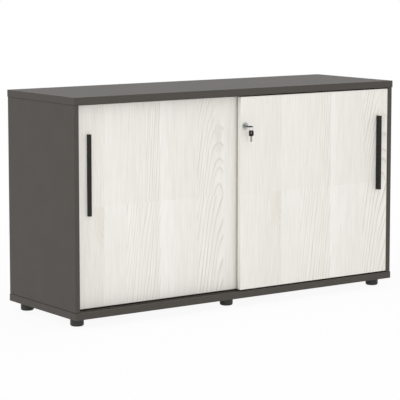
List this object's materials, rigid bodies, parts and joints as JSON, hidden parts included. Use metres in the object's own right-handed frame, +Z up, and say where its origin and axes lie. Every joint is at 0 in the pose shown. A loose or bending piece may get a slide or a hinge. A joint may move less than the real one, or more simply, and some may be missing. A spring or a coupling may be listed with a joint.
{
  "type": "low cabinet",
  "caption": "Low office cabinet with overlapping sliding doors on rollers, bar handles, a key lock, adjustable shelves and levelling feet.",
  "frame": {"origin": "on the floor, under the middle of the bounding box, key and ring included", "axes": "+X to the right along the width, +Y to the back, +Z up; the doors face -Y"},
  "size_m": [1.4, 0.4882, 0.78],
  "materials": {
    "graphite_melamine": "fine-grained matt melamine on chipboard",
    "pine_melamine": "matt melamine on chipboard with a pale pine print, grain upright",
    "back_board": "matt melamine on thin chipboard",
    "handle_metal": "black powder coat",
    "track_plastic": "extruded dark grey plastic",
    "carrier_plastic": "moulded black plastic",
    "roller_plastic": "turned black plastic",
    "foot_plastic": "moulded dark plastic",
    "lock_nickel": "satin nickel plate",
    "zinc_steel": "zinc plate",
    "key_plastic": "moulded black plastic"
  },
  "bodies": {
    "cabinet_frame": {"top_board": "graphite_melamine", "bottom_board": "graphite_melamine", "left_side_panel": "graphite_melamine", "right_side_panel": "graphite_melamine", "centre_divider": "graphite_melamine", "back_panel": "back_board", "left_shelf": "graphite_melamine", "right_shelf": "graphite_melamine", "left_shelf_pin_outer_front": "zinc_steel", "left_shelf_pin_outer_rear": "zinc_steel", "left_shelf_pin_inner_front": "zinc_steel", "left_shelf_pin_inner_rear": "zinc_steel", "right_shelf_pin_inner_front": "zinc_steel", "right_shelf_pin_inner_rear": "zinc_steel", "right_shelf_pin_outer_front": "zinc_steel", "right_shelf_pin_outer_rear": "zinc_steel", "running_track": "track_plastic", "guide_track": "track_plastic", "left_door_stop": "track_plastic", "right_door_stop": "track_plastic"},
    "left_sliding_door": {"left_door": "pine_melamine", "left_handle": "handle_metal", "left_handle_screw_upper": "zinc_steel", "left_handle_screw_lower": "zinc_steel", "left_door_carrier_left": "carrier_plastic", "left_door_carrier_right": "carrier_plastic", "left_door_guide_left": "track_plastic", "left_door_guide_right": "track_plastic", "strike_plate": "zinc_steel", "strike_screw_upper": "zinc_steel", "strike_screw_lower": "zinc_steel"},
    "right_sliding_door": {"right_door": "pine_melamine", "right_handle": "handle_metal", "right_handle_screw_upper": "zinc_steel", "right_handle_screw_lower": "zinc_steel", "right_door_carrier_left": "carrier_plastic", "right_door_carrier_right": "carrier_plastic", "right_door_guide_left": "track_plastic", "right_door_guide_right": "track_plastic", "lock_barrel": "lock_nickel", "lock_nut": "zinc_steel"},
    "left_door_wheel_left": {"left_door_roller_left": "roller_plastic"},
    "left_door_wheel_right": {"left_door_roller_right": "roller_plastic"},
    "right_door_wheel_left": {"right_door_roller_left": "roller_plastic"},
    "right_door_wheel_right": {"right_door_roller_right": "roller_plastic"},
    "lock_core": {"lock_plug": "lock_nickel", "lock_cam": "zinc_steel", "cam_screw": "zinc_steel"},
    "key": {"key_bow": "key_plastic", "key_blade": "zinc_steel"},
    "ring": {"key_ring": "zinc_steel"},
    "spare_key": {"spare_key_bow": "key_plastic", "spare_key_blade": "zinc_steel"},
    "front_left_foot": {"foot_front_left": "foot_plastic"},
    "front_middle_foot": {"foot_front_middle": "foot_plastic"},
    "front_right_foot": {"foot_front_right": "foot_plastic"},
    "back_left_foot": {"foot_back_left": "foot_plastic"},
    "back_middle_foot": {"foot_back_middle": "foot_plastic"},
    "back_right_foot": {"foot_back_right": "foot_plastic"}
  },
  "joints": [
    {"name": "left_door_slide", "type": "slide", "parent": "cabinet_frame", "child": "left_sliding_door", "axis": [1, 0, 0], "range_m": [0, 0.585]},
    {"name": "right_door_slide", "type": "slide", "parent": "cabinet_frame", "child": "right_sliding_door", "axis": [1, 0, 0], "range_m": [-0.585, 0]},
    {"name": "left_door_roller_left_spin", "type": "hinge", "parent": "left_sliding_door", "child": "left_door_wheel_left", "pos_m": [-0.619, -0.15835, 0.0623], "axis": [0, 1, 0], "continuous": true},
    {"name": "left_door_roller_right_spin", "type": "hinge", "parent": "left_sliding_door", "child": "left_door_wheel_right", "pos_m": [-0.034, -0.15835, 0.0623], "axis": [0, 1, 0], "continuous": true},
    {"name": "right_door_roller_left_spin", "type": "hinge", "parent": "right_sliding_door", "child": "right_door_wheel_left", "pos_m": [0.052, -0.18785, 0.0623], "axis": [0, 1, 0], "continuous": true},
    {"name": "right_door_roller_right_spin", "type": "hinge", "parent": "right_sliding_door", "child": "right_door_wheel_right", "pos_m": [0.619, -0.18785, 0.0623], "axis": [0, 1, 0], "continuous": true},
    {"name": "lock_turn", "type": "hinge", "parent": "right_sliding_door", "child": "lock_core", "pos_m": [0.011, -0.19685, 0.6468], "axis": [0, 1, 0], "range_deg": [0, 90]},
    {"name": "key_slide", "type": "slide", "parent": "lock_core", "child": "key", "axis": [0, -1, 0], "range_m": [-0.0115, 0.01]},
    {"name": "ring_swing", "type": "hinge", "parent": "key", "child": "ring", "pos_m": [0.011, -0.23335, 0.6468], "axis": [1, 0, 0], "range_deg": [-20, 20]},
    {"name": "spare_key_swing", "type": "hinge", "parent": "ring", "child": "spare_key", "pos_m": [0.011, -0.23335, 0.63009], "axis": [0, 1, 0], "range_deg": [-40, 40]},
    {"name": "foot_front_left_level", "type": "slide", "parent": "cabinet_frame", "child": "front_left_foot", "axis": [0, 0, -1], "range_m": [0, 0.01]},
    {"name": "foot_front_middle_level", "type": "slide", "parent": "cabinet_frame", "child": "front_middle_foot", "axis": [0, 0, -1], "range_m": [0, 0.01]},
    {"name": "foot_front_right_level", "type": "slide", "parent": "cabinet_frame", "child": "front_right_foot", "axis": [0, 0, -1], "range_m": [0, 0.01]},
    {"name": "foot_back_left_level", "type": "slide", "parent": "cabinet_frame", "child": "back_left_foot", "axis": [0, 0, -1], "range_m": [0, 0.01]},
    {"name": "foot_back_middle_level", "type": "slide", "parent": "cabinet_frame", "child": "back_middle_foot", "axis": [0, 0, -1], "range_m": [0, 0.01]},
    {"name": "foot_back_right_level", "type": "slide", "parent": "cabinet_frame", "child": "back_right_foot", "axis": [0, 0, -1], "range_m": [0, 0.01]}
  ],
  "couplings": [
    {"joint": "left_door_roller_left_spin", "follows": "left_door_slide", "rad_per_m": 100},
    {"joint": "left_door_roller_right_spin", "follows": "left_door_slide", "rad_per_m": 100},
    {"joint": "right_door_roller_left_spin", "follows": "right_door_slide", "rad_per_m": 100},
    {"joint": "right_door_roller_right_spin", "follows": "right_door_slide", "rad_per_m": 100}
  ]
}
